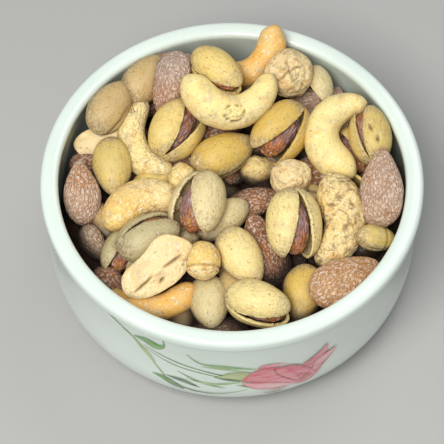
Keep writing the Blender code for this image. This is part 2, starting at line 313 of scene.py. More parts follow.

# %% [markdown]
# ## Finished pieces
#
# A finished piece's object sits at the origin and its place is in its mesh. This helper turns
# a bmesh in millimetres into such an object in metres, gives it its name and its material, and
# lets it ride on the model's one body.

# %% Finished pieces
def finished(name, bm, material, node=None):
    bmesh.ops.scale(bm, verts=bm.verts, vec=(MM, MM, MM))
    mesh = bpy.data.meshes.new(name)
    bm.to_mesh(mesh)
    bm.free()
    mesh.shade_smooth()
    mesh.materials.append(material)
    piece = bpy.data.objects.new(name, mesh)
    scene.collection.objects.link(piece)
    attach(piece, "root")
    if node:
        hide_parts(node)
    print(name, "has", sum(len(face.vertices) - 2 for face in mesh.polygons), "triangles")


# %% [markdown]
# ## The bowl
#
# The real bowl was thrown or pressed on a wheel, so half of its section turned round the axis
# gives it exactly. The section is worked out from the sizes above: a flat inside, a tight
# curve up to a nearly straight wall, a fat rounded lip that stands a little proud outside, and
# the wall's curve down to a low foot ring. Spin turns it in many steps, so it looks round.

# %% The bowl's section
def curve_in(share):
    """How far the wall has turned in, 0 to 1, at a share of the way down its round stretch."""
    return 1.0 - (1.0 - share**ROUNDNESS) ** (1.0 / ROUNDNESS)


def round_stretch(top_r, low_r, top_z, low_z, steps):
    """The wall's turn from upright to flat, from its top point down to its lowest one."""
    points = []
    for step in range(steps + 1):
        share = sin(0.5 * pi * step / steps)
        points.append((top_r - (top_r - low_r) * curve_in(share), top_z - (top_z - low_z) * share))
    return points


def lip(steps):
    """The lip from its inner lower corner over the nearly flat top to its outer lower corner."""
    half = LIP_WIDTH / 2
    middle_r = RIM_R - half
    low = RIM_TOP - LIP_HEIGHT
    points = [(WALL_R - WALL, low)]
    for step in range(steps + 1):
        turn = pi * (1.0 - step / steps)
        across = copysign(abs(cos(turn)) ** LIP_SQUARENESS, cos(turn))
        height = abs(sin(turn)) ** LIP_SQUARENESS
        points.append((middle_r + half * across, RIM_TOP - LIP_CROWN * (1.0 - height)))
    points += [(RIM_R - back, low + rise) for back, rise in UNDER_LIP]
    points += [(WALL_R + out, low - drop) for out, drop in WALL_TOP]
    return points


def wall_radius(z):
    """The radius of the bowl's outside at a height under the lip."""
    if z >= SHOULDER_Z:
        return WALL_R
    share = min((SHOULDER_Z - z) / (SHOULDER_Z - FOOT_HEIGHT), 1.0)
    return WALL_R - (WALL_R - FOOT_R - FOOT_SPLAY) * curve_in(share)


def inner_radius(z):
    """The radius of the bowl's inside at a height."""
    wall_r = WALL_R - WALL
    if z >= SHOULDER_Z:
        return min(wall_r, RIM_R - LIP_WIDTH)
    share = min((SHOULDER_Z - z) / (SHOULDER_Z - FLOOR_TOP), 1.0)
    return wall_r - (wall_r - FOOT_R + FOOT_WIDTH) * curve_in(share)


def bowl_section():
    inside = round_stretch(WALL_R - WALL, FOOT_R - FOOT_WIDTH, SHOULDER_Z, FLOOR_TOP, 20)
    outside = round_stretch(WALL_R, FOOT_R + FOOT_SPLAY, SHOULDER_Z, FOOT_HEIGHT, 28)
    foot = [
        (FOOT_R + 0.05, 0.4),
        (FOOT_R - 0.3, 0.0),
        (FOOT_R - FOOT_WIDTH + 0.3, 0.0),
        (FOOT_R - FOOT_WIDTH, 0.3),
        (FOOT_R - FOOT_WIDTH - FOOT_SPLAY, FOOT_HEIGHT),
    ]
    return [(0.0, FLOOR_TOP)] + inside[::-1] + lip(24) + outside + foot + [(0.0, FOOT_HEIGHT)]


# %% Turn the bowl
def turned(section, steps):
    """Spin a section whose two ends lie on the axis into a closed solid."""
    bm = bmesh.new()
    corners = [bm.verts.new((r, 0.0, z)) for r, z in section]
    for upper, lower in zip(corners, corners[1:]):
        bm.edges.new((upper, lower))
    bmesh.ops.spin(
        bm,
        geom=bm.verts[:] + bm.edges[:],
        cent=(0, 0, 0),
        axis=(0, 0, 1),
        angle=2 * pi,
        steps=steps,
        use_merge=True,
    )
    bmesh.ops.remove_doubles(bm, verts=bm.verts, dist=0.001)
    bmesh.ops.recalc_face_normals(bm, faces=bm.faces)
    return bm


# %% [markdown]
# The glaze is a cold white with a breath of mint, thick and shiny. Real glaze is never quite
# even, so its colour and its shine drift a little, and it carries a few pin-prick specks of
# iron.

# %% The glaze
SPECK_R = 0.035
SPECK_CORE_R = 0.022


def make_glaze():
    material, tree, shader = new_material("white glaze", 0.14)
    place = add(tree, "ShaderNodeTexCoord", {}).outputs["Object"]
    cloud = patches(tree, place, 45.0, 0.35, 0.7)
    body = mixed(tree, cloud, tone(216, 229, 221), tone(222, 234, 226))
    specks = add(tree, "ShaderNodeTexVoronoi", {"Vector": place, "Scale": 130.0}, feature="F1")
    small = ranged(tree, specks.outputs["Distance"], SPECK_R, SPECK_CORE_R)
    dot = summed(tree, "MULTIPLY", small, patches(tree, place, 90.0, 0.60, 0.64))
    tree.links.new(mixed(tree, dot, body, tone(120, 120, 100)), shader.inputs["Base Color"])
    tree.links.new(ranged(tree, cloud, 0.0, 1.0, 0.12, 0.20), shader.inputs["Roughness"])
    shader.inputs["Coat Weight"].default_value = 0.35
    shader.inputs["Coat Roughness"].default_value = 0.06
    return material


BOWL_STEPS = 144
finished("glazed_bowl", turned(bowl_section(), BOWL_STEPS), make_glaze(), "bowl")

# %% [markdown]
# ## The printed sprig
#
# The sprig is a transfer print: flat inks on the glaze, with no thickness to speak of. Every
# stem, leaf and petal is one stroke of a brush that swells and tapers, so one helper makes
# them all. A stroke is a strip of grid faces. Its middle line is a smooth curve through a few
# points, given as the distance round the wall from its front and the height above the table,
# and each point has a width. The strip is wrapped on the wall and lifted by a few hundredths
# of a millimetre, later strokes over earlier ones.

# %% Strokes
PRINT_LIFT = 0.05
PRINT_STEP = 0.012


def along_curve(points, share):
    """A point of a smooth curve through a list of points, at 0 to 1 of its length."""
    spans = len(points) - 1
    span = min(int(share * spans), spans - 1)
    t = share * spans - span
    before = points[max(span - 1, 0)]
    start = points[span]
    end = points[span + 1]
    after = points[min(span + 2, spans)]
    values = []
    for a, b, c, d in zip(before, start, end, after):
        bend = (3 * b - 3 * c + d - a) * t + (2 * a - 5 * b + 4 * c - d)
        values.append(b + 0.5 * t * (c - a + t * bend))
    return values


def on_wall(around, height, lift):
    turn = around / WALL_R
    reach = wall_radius(height) + lift
    return Vector((reach * sin(turn), -reach * cos(turn), height))


def stroke(bm, order, points, root, tip, edge=None, across=4, along=28):
    """One brush stroke. A point is (round the wall, height, width)."""
    tint = bm.verts.layers.float_color["ink"]
    size = Matrix.Translation((0.5, 0.5, 0)) @ Matrix.Scale(0.5, 4)
    made = bmesh.ops.create_grid(bm, x_segments=along, y_segments=across, size=1.0, matrix=size)
    for point in made["verts"]:
        share = point.co.x
        side = 2.0 * point.co.y - 1.0
        u, z, width = along_curve(points, share)
        ahead = along_curve(points, min(share + 0.01, 1.0))
        behind = along_curve(points, max(share - 0.01, 0.0))
        run = Vector((ahead[0] - behind[0], ahead[1] - behind[1], 0.0)).normalized()
        colour = Vector(root).lerp(Vector(tip), share)
        if edge is not None:
            colour = colour.lerp(Vector(edge), abs(side) ** 3)
        point[tint] = colour
        reach = side * max(width, 0.05) / 2
        point.co = on_wall(u - run.y * reach, z + run.x * reach, PRINT_LIFT + PRINT_STEP * order)


# %% [markdown]
# The colours are picked from the usual inks for such a sprig: a dark and a bright green, a
# straw green for the calyx, and a rose that pales towards the edges of the petals.

# %% The sprig
DARK_GREEN = tone(38, 92, 40)
LEAF_GREEN = tone(84, 160, 52)
GRASS_GREEN = tone(110, 150, 70)
PALE_GREEN = tone(176, 196, 132)
CALYX = tone(172, 160, 112)
ROSE = tone(205, 62, 88)
DEEP_ROSE = tone(170, 36, 60)
PINK = tone(232, 150, 165)
BLUSH = tone(240, 196, 200)
BROWN = tone(120, 96, 60)

SPRIG = (
    (((-44.5, 46.0, 0.5), (-38.0, 43.5, 0.8), (-31.0, 39.0, 1.1)), DARK_GREEN, GRASS_GREEN, None),
    (((-31.0, 39.0, 1.1), (-26.0, 32.0, 1.9), (-23.5, 27.0, 0.3)), GRASS_GREEN, PALE_GREEN, None),
    (((-27.0, 33.0, 0.5), (-22.0, 24.0, 0.7), (-19.5, 18.5, 0.4)), PALE_GREEN, BROWN, None),
    (((-27.5, 37.0, 0.3), (-17.0, 33.2, 0.6), (-8.0, 30.6, 0.6), (1.0, 27.6, 0.5)),
     GRASS_GREEN, DARK_GREEN, None),
    (((-27.0, 35.5, 0.2), (-17.5, 31.0, 0.4), (-8.0, 28.8, 0.5), (0.0, 26.6, 0.4)),
     DARK_GREEN, GRASS_GREEN, None),
    (((-30.0, 40.6, 0.4), (-26.5, 40.6, 3.2), (-23.0, 39.6, 3.6), (-20.6, 41.4, 1.0),
      (-21.0, 45.5, 0.2)), LEAF_GREEN, LEAF_GREEN, DARK_GREEN),
    (((-30.5, 40.6, 0.5), (-27.0, 39.8, 1.0), (-24.0, 39.4, 0.1)), DARK_GREEN, DARK_GREEN, None),
    (((-25.0, 20.6, 0.2), (-21.5, 20.2, 2.6), (-17.5, 17.4, 3.0), (-14.5, 15.0, 0.2)),
     LEAF_GREEN, DARK_GREEN, DARK_GREEN),
    (((-20.5, 22.5, 0.2), (-15.0, 21.8, 2.2), (-9.5, 19.2, 0.3)), DARK_GREEN, DARK_GREEN, None),
    (((-16.5, 27.5, 0.2), (-9.0, 22.8, 0.9), (-1.5, 20.4, 0.2)), DARK_GREEN, GRASS_GREEN, None),
    (((-17.5, 18.4, 0.2), (-11.0, 15.6, 0.9), (-3.0, 15.8, 0.5), (5.5, 19.2, 0.2)),
     DARK_GREEN, GRASS_GREEN, None),
    (((-13.5, 40.0, 0.2), (-9.0, 35.4, 0.7), (-1.0, 34.6, 1.2), (8.0, 32.4, 0.3)),
     GRASS_GREEN, LEAF_GREEN, None),
    (((-9.0, 33.6, 0.2), (-2.0, 33.2, 1.0), (5.5, 31.0, 0.3)), GRASS_GREEN, PALE_GREEN, None),
    (((-14.0, 24.0, 0.2), (-6.0, 22.6, 1.1), (3.0, 24.4, 0.4)), PALE_GREEN, LEAF_GREEN, None),
    (((-4.0, 27.8, 0.5), (1.0, 28.2, 5.6), (6.5, 27.2, 6.0), (9.0, 25.0, 1.0)),
     PALE_GREEN, CALYX, GRASS_GREEN),
    (((-5.0, 27.6, 0.3), (0.0, 26.2, 1.5), (4.0, 25.4, 0.2)), DARK_GREEN, DARK_GREEN, None),
    (((2.0, 22.6, 0.2), (7.0, 21.0, 1.3), (12.0, 21.4, 0.2)), LEAF_GREEN, DARK_GREEN, None),
    (((8.0, 32.4, 0.2), (11.0, 33.4, 2.2), (17.5, 33.0, 0.3)), ROSE, PINK, None),
    (((18.0, 22.0, 0.5), (24.0, 26.0, 5.6), (29.0, 31.6, 3.4), (31.0, 36.0, 0.3)),
     DEEP_ROSE, PINK, ROSE),
    (((17.0, 20.0, 0.5), (24.0, 22.6, 6.6), (31.0, 28.4, 4.0), (34.6, 31.0, 0.3)),
     ROSE, BLUSH, DEEP_ROSE),
    (((18.0, 18.2, 0.4), (24.0, 17.8, 3.4), (29.5, 22.4, 0.4)), ROSE, PINK, DEEP_ROSE),
    (((13.0, 30.0, 0.5), (18.0, 28.6, 5.4), (24.0, 23.8, 3.6), (27.0, 20.0, 0.3)),
     ROSE, PINK, DEEP_ROSE),
    (((3.6, 25.6, 0.5), (8.5, 27.2, 8.6), (14.0, 26.4, 10.4), (19.0, 21.0, 6.0),
      (22.5, 17.0, 0.4)), ROSE, PINK, ROSE),
    (((3.4, 24.0, 0.5), (8.5, 21.4, 4.6), (14.5, 19.4, 4.4), (21.0, 17.2, 0.4)),
     PINK, BLUSH, DEEP_ROSE),
    (((13.4, 31.6, 0.4), (14.6, 27.0, 0.9), (18.5, 22.0, 0.7), (22.5, 17.4, 0.2)),
     DEEP_ROSE, DEEP_ROSE, None),
    (((20.0, 18.0, 0.2), (25.0, 22.6, 0.7), (27.0, 28.6, 0.2)), DEEP_ROSE, ROSE, None),
    (((10.0, 15.4, 0.2), (14.0, 14.4, 1.1), (18.0, 16.6, 0.2)), BROWN, DEEP_ROSE, None),
)


def make_sprig():
    bm = bmesh.new()
    bm.verts.layers.float_color.new("ink")
    for order, (points, root, tip, edge) in enumerate(SPRIG):
        stroke(bm, order, points, root, tip, edge)
    bmesh.ops.recalc_face_normals(bm, faces=bm.faces)
    outside = [face for face in bm.faces if face.normal.dot(face.calc_center_median()) < 0]
    bmesh.ops.reverse_faces(bm, faces=outside)
    return bm


def make_ink():
    material, tree, shader = new_material("printed ink", 0.16)
    place = add(tree, "ShaderNodeTexCoord", {}).outputs["Object"]
    ink = read(tree, "ink", "Color")
    streak = patches(tree, stretched(tree, place, (0.4, 0.4, 1.4)), 500.0, 0.36, 0.70)
    washed = mixed(tree, 0.22, ink, tone(240, 238, 226))
    tree.links.new(mixed(tree, streak, washed, ink), shader.inputs["Base Color"])
    shader.inputs["Coat Weight"].default_value = 0.35
    shader.inputs["Coat Roughness"].default_value = 0.06
    return material


finished("printed_sprig", make_sprig(), make_ink())

# %% [markdown]
# ## How the nuts lie
#
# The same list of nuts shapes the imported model. A nut has a kind, the point where the line of
# sight to its middle crosses the rim's plane, three angles, its length, and an angle that says
# how far an open shell gapes or how far a cashew bends. Here it also has its colour and its
# finish. A layer's name comes with the lowest point that the middles of its nuts sink to, and
# the share of a nut's size that counts as touching.

# %% The nuts that show
LAYERS = {
    ("lower", 36.0, 0.62): (
        ("almond", 28.2, 25.5, 0, 5, 20, 23, 0, "rose", "plain"),
        ("almond", 35.2, 27.5, 80, 0, 10, 21, 0, "rose", "plain"),
        ("almond", -5.5, 16.8, 15, 0, 0, 20, 0, "chestnut", "plain"),
        ("almond", -15.0, 4.5, -30, 0, 0, 18, 0, "chestnut", "plain"),
        ("almond", 6.1, -10.3, 20, 10, -10, 20, 0, "chestnut", "plain"),
        ("almond", 28.5, 2.0, 20, 0, 0, 22, 0, "chestnut", "plain"),
        ("almond", -46.5, 4.9, 17, 0, 30, 18, 0, "chestnut", "plain"),
        ("closed", -23.0, -4.5, 10, 0, 0, 18, 0, "straw", "plain"),
        ("round", 7.8, 1.9, 0, 0, 0, 11, 0, "straw", "floury"),
        ("open", -3.0, -16.2, 40, 0, -60, 19, 20, "stone", "plain"),
        ("closed", -6.5, -45.5, -84, 8, 0, 20, 0, "stone", "plain"),
        ("almond", -36.0, -40.0, -50, 0, 0, 16, 0, "chestnut", "plain"),
        ("open", -32.8, -28.5, -108, 8, -15, 18, 18, "olive", "plain"),
        ("almond", -42.2, -25.0, -60, 0, 30, 14, 0, "ash", "plain"),
        ("shell", -40.2, -17.1, -62, 0, 20, 16, 0, "sand", "plain"),
        ("cashew", -23.5, -44.5, 185, 0, -10, 31, 120, "gold", "smooth"),
        ("shell", 38.8, -9.1, -69, 0, -150, 19, 0, "straw", "plain"),
        ("open", 37.5, 8.6, -62, 0, 20, 18, 24, "straw", "plain"),
        ("almond", 10.2, -27.8, 110, 20, 10, 26, 0, "chestnut", "plain"),
        ("round", -13.6, -23.2, 30, 0, 0, 9, 0, "stone", "floury"),
        ("closed", 21.5, -42.4, -98, -10, 0, 20, 0, "gold shell", "plain"),
    ),
    ("middle", 41.0, 0.72): (
        ("half cashew", -43.0, 12.0, 10, 12, 25, 17, 60, "cream", "smooth"),
        ("closed", -37.4, 3.0, -86, -8, 0, 20, 0, "yellow", "plain"),
        ("fat cashew", 30.6, -17.0, -94, -18, 0, 32, 150, "biscuit", "crumbly"),
        ("closed", -3.0, 7.5, 28, 4, 0, 22, 0, "gold shell", "plain"),
        ("fat cashew", -26.8, -12.6, 22, 0, 15, 28, 150, "honey", "half floured"),
        ("closed", 2.9, -29.5, -60, -8, 0, 21, 0, "cream shell", "plain"),
        ("closed", 45.8, -22.8, 10, -25, 0, 13.5, 0, "yellow", "collar"),
        ("round", 18.5, -0.7, 0, 0, 0, 13.5, 0, "cream", "floury"),
        ("cashew", -26.9, 12.5, 112, 18, 0, 33, 150, "butter", "floury"),
        ("almond", -46.5, -6.9, 97, 25, 20, 21, 0, "rose", "plain"),
        ("open", -25.6, -22.6, 32, 0, -28, 21, 14, "olive", "plain"),
        ("round", -15.5, -1.4, 90, 10, 0, 10, 0, "straw", "floury"),
        ("open", 8.1, -45.8, -21, 0, 80, 21, 13, "cream shell", "plain"),
        ("almond", 35.8, -38.2, 31, 0, 15, 24.5, 0, "amber", "plain"),
    ),
    ("back", 47.5, 0.72): (
        ("shell", 29.0, 36.0, -70, 0, -40, 15, 0, "stone", "plain"),
        ("almond", -16.5, 42.0, 160, 0, 30, 20, 0, "rose", "plain"),
        ("closed", -28.4, 36.4, 57, 4, 35, 20, 0, "tan", "plain"),
        ("closed", -40.0, 26.2, 60, 6, 35, 20.5, 0, "tan", "beaked"),
        ("open", 44.2, 15.6, 100, 10, -40, 19.5, 12, "yellow", "dimpled"),
        ("almond", 48.0, -4.6, 88, 22, -30, 25.5, 0, "rose", "plain"),
    ),
    ("rim", 49.5, 0.80): (
        ("cashew", 5.3, 45.5, 202, -30, -25, 31, 160, "gold", "smooth"),
    ),
    ("upper", 45.0, 0.80): (
        ("round", -8.7, -30.6, 90, 15, 0, 12, 0, "honey", "collar"),
        ("half cashew", -23.4, -32.8, 217, -20, -25, 24.5, 60, "cream", "split"),
        ("almond", -20.2, 34.6, -103, -15, 30, 23, 0, "mauve", "ruddy tip"),
        ("open", -5.2, 39.6, -43, 0, 74, 20.5, 9, "straw", "plain"),
        ("round", 17.8, 39.0, 0, 0, 30, 16.5, 0, "cream", "star"),
        ("cashew", -0.6, 31.2, 1, 0, 208, 38, 185, "butter", "scarred"),
        ("open", -17.6, 16.6, 61, 8, 42, 21, 26, "straw", "plain"),
        ("open", 15.7, 16.4, -130, -18, -44, 21.5, 24, "gold shell", "plain"),
        ("cashew", 34.6, 15.6, 80, 20, 0, 37, 210, "butter", "smooth"),
        ("open", -10.6, -10.8, -104, -8, 40, 22, 32, "grey cream", "plain"),
        ("open", 19.2, -17.4, -86, -20, -26, 22.5, 22, "cream shell", "plain"),
    ),
}
print("nuts that show:", sum(len(nuts) for nuts in LAYERS.values()))

# %% [markdown]
# ## The shape of each kind
#
# Every nut starts as a ball with its poles on the long axis. A form takes a point of the unit
# ball to its place on the nut, in millimetres, and can swell it outwards by a small amount,
# which is how the wrinkles come in later. The same form makes a plain ball with few sides, to
# find where the nut rests, and a fine one to look at.

# %% Forms
WIDTH = {"almond": 0.58, "closed": 0.64, "open": 0.62, "shell": 0.66, "round": 0.94}
THICKNESS = {"almond": 0.38, "closed": 0.60, "open": 0.60, "shell": 0.30, "round": 0.86}
TAPER = {"almond": 0.30, "closed": 0.16, "open": 0.12, "shell": 0.12, "round": 0.04, "cashew": 0.18}
CASHEW_WIDTH = {"cashew": 0.30, "fat cashew": 0.42, "half cashew": 0.54}
CASHEW_FLAT = {"cashew": 1.0, "fat cashew": 0.85, "half cashew": 0.60}
CUT_FACE = 0.35
BLUNTNESS = 3.0
SEED_LENGTH = 0.80
SEED_WIDTH = 0.36
SEED_THICKNESS = 0.48
SEED_SHIFT = 0.04
SEED_PER_DEGREE = 0.03
OVERLAP = 0.08


def body_form(kind, length):
    """An almond, a closed pistachio or a round nut: a ball drawn out towards its tip."""
    half = length / 2
    wide = half * WIDTH[kind]
    thick = half * THICKNESS[kind]
    taper = TAPER[kind]

    def form(p, swell=0.0):
        slim = 1.0 - taper * p.x - taper / 2 * p.x * p.x
        place = Vector((p.x * half, p.y * wide * slim, p.z * thick * slim))
        out = Vector((p.x / half, p.y / wide, p.z / thick)).normalized()
        return place + swell * out

    return form


def half_form(length, side, closed=True):
    """One half of an open shell, before it swings out. A closed one is a plain solid."""
    half = length / 2
    wide = half * WIDTH["open"]
    thick = half * THICKNESS["open"]

    def form(p, swell=0.0):
        slim = 1.0 - TAPER["open"] * p.x
        across = side * max(side * p.y, -OVERLAP) if closed else p.y
        place = Vector((p.x * half, across * wide * slim, p.z * thick * slim))
        out = Vector((p.x / half, p.y / wide, p.z / thick)).normalized()
        return place + swell * out

    return form


def swing(length, side, gape):
    """The turn that opens one half of a shell about the hinge at its blunt end."""
    hinge = Vector((-length / 2, 0.0, 0.0))
    turn = Matrix.Rotation(side * radians(gape) / 2, 4, "Z")
    return Matrix.Translation(hinge) @ turn @ Matrix.Translation(-hinge)


def kernel_form(length, gape):
    """The seed between two open halves."""
    half = SEED_LENGTH / 2 * length
    wide = SEED_WIDTH / 2 * length + SEED_PER_DEGREE * gape
    thick = SEED_THICKNESS / 2 * length

    def form(p, swell=0.0):
        place = Vector((p.x * half + SEED_SHIFT * length, p.y * wide, p.z * thick))
        return place + swell * Vector((p.x / half, p.y / wide, p.z / thick)).normalized()

    return form


def blunt_end(x):
    """How much thicker a cashew is than a plain ball, at a place along it: its ends are blunt."""
    if abs(x) >= 1.0:
        return 1.0
    return (1.0 - abs(x) ** BLUNTNESS) ** (1.0 / BLUNTNESS) / (1.0 - x * x) ** 0.5


def cashew_form(kind, length, bend, face_power=1.0):
    """A kidney: a ball drawn out along an arc that bulges towards +Y. A half has a cut face."""
    arc_r = length / radians(bend)
    chord = arc_r * (1.0 + cos(radians(bend) / 2)) / 2
    wide = CASHEW_WIDTH[kind] / 2 * length
    thick = wide * CASHEW_FLAT[kind]

    def form(p, swell=0.0):
        slim = (1.0 - TAPER["cashew"] * p.x) * blunt_end(p.x)
        turn = p.x * radians(bend) / 2
        reach = arc_r + p.y * (wide * slim + swell)
        height = p.z * (thick * slim + swell)
        if kind == "half cashew" and p.z > 0.0:
            height = p.z**face_power * CUT_FACE * thick * slim + p.z * swell
        return Vector((reach * sin(turn), reach * cos(turn) - chord, height))

    return form


def ball(around, along, triangles=False):
    """A unit sphere with its poles on X."""
    bm = bmesh.new()
    upright = Matrix.Rotation(pi / 2, 4, "Y")
    bmesh.ops.create_uvsphere(bm, u_segments=around, v_segments=along, radius=1.0, matrix=upright)
    if triangles:
        bmesh.ops.triangulate(bm, faces=bm.faces)
    return bm


def shaped(bm, form):
    for point in bm.verts:
        point.co = form(point.co.copy())
    return bm


# %% [markdown]
# ## Letting the nuts down
#
# Each nut is let down along the line of sight until its shrunken plain solid meets one that
# was laid before it, or until it reaches its layer's floor. That way a nut lands behind the
# ones laid after it and in front of the ones before, just as it does in the photo, and from
# the side the heap is still a believable pile. A nut that would cut the bowl's wall is moved
# inwards.

# %% Settle
GAP = 0.45
DROP_FROM = 24.0
DROP_STEP = 0.5
PUSHES = 8
PUSH_SPARE = 1.02
CORE_Z = 31.0
CORE_SIDES = 26


def plain_solids(kind, length, angle):
    """The few-sided solids that stand for a nut while it settles."""
    if kind == "open":
        halves = []
        for side in (-1, 1):
            half = shaped(ball(8, 6, True), half_form(length, side))
            bmesh.ops.transform(half, matrix=swing(length, side, angle), verts=half.verts)
            halves.append(half)
        return halves + [shaped(ball(6, 5, True), kernel_form(length, angle))]
    if kind in CASHEW_WIDTH:
        return [shaped(ball(7, 8, True), cashew_form(kind, length, angle))]
    return [shaped(ball(7, 6, True), body_form(kind, length))]


def turn_of(heading, rise, roll):
    pose = Matrix.Rotation(radians(heading), 3, "Z")
    pose = pose @ Matrix.Rotation(radians(-rise), 3, "Y")
    return pose @ Matrix.Rotation(radians(roll), 3, "X")


def posed(kind, heading, rise, roll, length, angle):
    solids = plain_solids(kind, length, angle)
    pose = turn_of(heading, rise, roll)
    for bm in solids:
        bmesh.ops.rotate(bm, verts=bm.verts, cent=(0.0, 0.0, 0.0), matrix=pose)
    return solids


def clear_of_wall(points, place):
    """Move a place inwards until every point about it stays inside the bowl."""
    for _ in range(PUSHES):
        worst = 0.0
        inward = Vector((0.0, 0.0, 0.0))
        for point in points:
            at = point + place
            if at.z > RIM_TOP + GAP:
                continue
            radius = Vector((at.x, at.y, 0.0))
            excess = radius.length - (inner_radius(at.z) - GAP)
            if excess > worst:
                worst = excess
                inward = -radius.normalized() * excess
        if worst == 0.0:
            break
        place = place + inward * PUSH_SPARE
    return place


def points_and_faces(solids, place, scale):
    points = []
    faces = []
    for bm in solids:
        start = len(points)
        bm.verts.index_update()
        points += [point.co * scale + place for point in bm.verts]
        faces += [[start + corner.index for corner in face.verts] for face in bm.faces]
    return points, faces


def tree_of(solids, place, scale):
    return BVHTree.FromPolygons(*points_and_faces(solids, place, scale))


def overlaps(tree, laid):
    return any(tree.overlap(other) for other in laid)


def settle(solids, x, y, floor, touch, laid):
    """Let a nut down its line of sight until it rests on a nut laid before it, or the floor."""
    target = Vector((x, y, RIM_TOP))
    sight = (LOOKED_FROM - target).normalized()
    points = [point.co for bm in solids for point in bm.verts]
    resting = clear_of_wall(points, target + sight * DROP_FROM)
    distance = DROP_FROM
    while resting.z > floor:
        distance -= DROP_STEP
        place = clear_of_wall(points, target + sight * distance)
        if overlaps(tree_of(solids, place, touch), laid):
            break
        resting = place
    return resting


# %% [markdown]
# Under the nuts that show there are more, glimpsed through the gaps. They are laid last, at
# random places below the others, wherever one fits with no more than a slight touch. The
# random draw has a fixed seed, so the heap is the same every time.

# %% Lay the nuts
FILLERS = 60
FILLER_TRIES = 2600
FILLER_LOW = 31.0
FILLER_HIGH = 38.0
FILLER_TOP = 40.5
FILLER_SEED = 7
FILLER_TOUCH = 0.78
FILLER_LENGTHS = (16.0, 20.0)
FILLER_RISE = 35
FILLER_MARGIN = 7.0
FILLER_KINDS = (("almond", "chestnut"), ("closed", "sand"), ("closed", "straw"), ("almond", "rose"))


def core_top():
    """A disc at the height of the core, for the lowest nuts to rest on."""
    bm = bmesh.new()
    edge_r = WALL_R - WALL - GAP
    bmesh.ops.create_circle(bm, cap_ends=True, segments=CORE_SIDES, radius=edge_r)
    bmesh.ops.translate(bm, verts=bm.verts, vec=(0.0, 0.0, CORE_Z))
    return bm


def lay_nuts():
    laid = [tree_of([core_top()], Vector((0.0, 0.0, 0.0)), 1.0)]
    nuts = []
    shapes = []
    for (_, floor, touch), rows in LAYERS.items():
        for kind, x, y, heading, rise, roll, length, angle, colour, finish in rows:
            solids = posed(kind, heading, rise, roll, length, angle)
            place = settle(solids, x, y, floor, touch, laid)
            laid.append(tree_of(solids, place, touch))
            shapes.append(points_and_faces(solids, place, 1.0))
            turn = turn_of(heading, rise, roll)
            nuts.append((kind, place, turn, length, angle, colour, finish))
    return nuts, laid, shapes


def lay_fillers(laid, shapes):
    chance = Random(FILLER_SEED)
    nuts = []
    for _ in range(FILLER_TRIES):
        far = (RIM_R - LIP_WIDTH - FILLER_MARGIN) * chance.random() ** 0.5
        around = chance.uniform(0.0, 2 * pi)
        height = chance.uniform(FILLER_LOW, FILLER_HIGH)
        kind, colour = chance.choice(FILLER_KINDS)
        angles = [chance.uniform(*span) for span in ((0, 360), (-FILLER_RISE, FILLER_RISE), (0, 360))]
        length = chance.uniform(*FILLER_LENGTHS)
        if len(nuts) == FILLERS:
            break
        solids = posed(kind, *angles, length, 0)
        points = [point.co for bm in solids for point in bm.verts]
        place = clear_of_wall(points, Vector((far * cos(around), far * sin(around), height)))
        tree = tree_of(solids, place, FILLER_TOUCH)
        top = max(point.z for point in points) + place.z
        if top > FILLER_TOP or overlaps(tree, laid[1:]):
            continue
        laid.append(tree)
        shapes.append(points_and_faces(solids, place, 1.0))
        nuts.append((kind, place, turn_of(*angles), length, 0, colour, "plain"))
    return nuts


NUTS, laid_trees, SHAPES = lay_nuts()
HIDDEN_NUTS = lay_fillers(laid_trees, SHAPES)
print("laid", len(NUTS), "nuts that show and", len(HIDDEN_NUTS), "below them")

# %% [markdown]
# ## Wrinkles, seams and cracks
#
# What tells the kinds apart close up is their skin. An almond has a net of lengthwise wrinkles
# with dried salt on them. A pistachio's shell is nearly smooth, with a seam, and it wrinkles
# towards its blunt end. A cashew has shallow dents, and some nuts have a mark of their own: a
# scar, splits, dimples, a collar or a star-shaped crack. A relief gives, for a point of the
# ball and its place on the nut, how far the skin swells there, how strong a crease is, and how
# strong the blush is, which is the warm middle of a shell, the ruddy part of an almond and the
# bare part of a cashew. The last two are kept as attributes, so the colour follows the relief.

# %% Relief helpers
NOISE_STEPS = {
    "almond": (7.3, 3.1, 1.7),
    "shell": (5.1, 2.3, 4.7),
    "cashew": (3.7, 6.1, 2.9),
    "round": (2.9, 4.3, 5.9),
    "seed": (1.9, 8.3, 3.3),
}


def drift(kind, number):
    """Where in the noise a nut reads its relief, so that no two nuts are alike."""
    return Vector([number * step for step in NOISE_STEPS[kind]])


def smooth(low, high, value):
    share = min(max((value - low) / (high - low), 0.0), 1.0)
    return share * share * (3.0 - 2.0 * share)


def ridge(at, scale, stretch, thin):
    """1 on the lines of a net that runs lengthwise, 0 between them."""
    value = noise.noise(Vector((at.x * stretch, at.y, at.z)) * scale)
    return max(0.0, 1.0 - abs(value) / thin)


def slit(p, start, end, width):
    """1 along a short cut between two places on the ball, fading at its ends and its sides."""
    run = Vector(end) - Vector(start)
    offset = Vector((p.x, p.y)) - Vector(start)
    share = offset.dot(run) / run.length_squared
    if not 0.0 < share < 1.0:
        return 0.0
    aside = offset.cross(run) / run.length
    return sin(pi * share) ** 0.5 * exp(-((aside / width) ** 2))


# %% Almond and shell reliefs
def almond_relief(p, at, number, finish):
    seed = drift("almond", number)
    broad = noise.noise(at * 0.14 + seed)
    net = ridge(at + seed, 0.52, 0.40, 0.18)
    grit = noise.noise(at * 1.4 + seed)
    swell = 0.40 * broad - 0.20 * net + 0.06 * grit
    ruddy = smooth(-0.3, 0.5, p.x) if finish == "ruddy tip" else smooth(0.05, 0.45, broad)
    return swell, net, ruddy


SEAM_WIDTH = 0.28
SEAM_DEPTH = 0.26
BEAK_DEPTH = 0.65
DIMPLE_DEPTH = 0.55
COLLAR_X = 0.30
COLLAR_WIDTH = 0.05
COLLAR_DEPTH = 0.35
BEAK = ((-0.95, -0.55), (0.30, -0.60))
DIMPLES = (((-0.10, -0.50), (0.20, -0.38)), ((-0.48, -0.62), (-0.26, -0.72)))


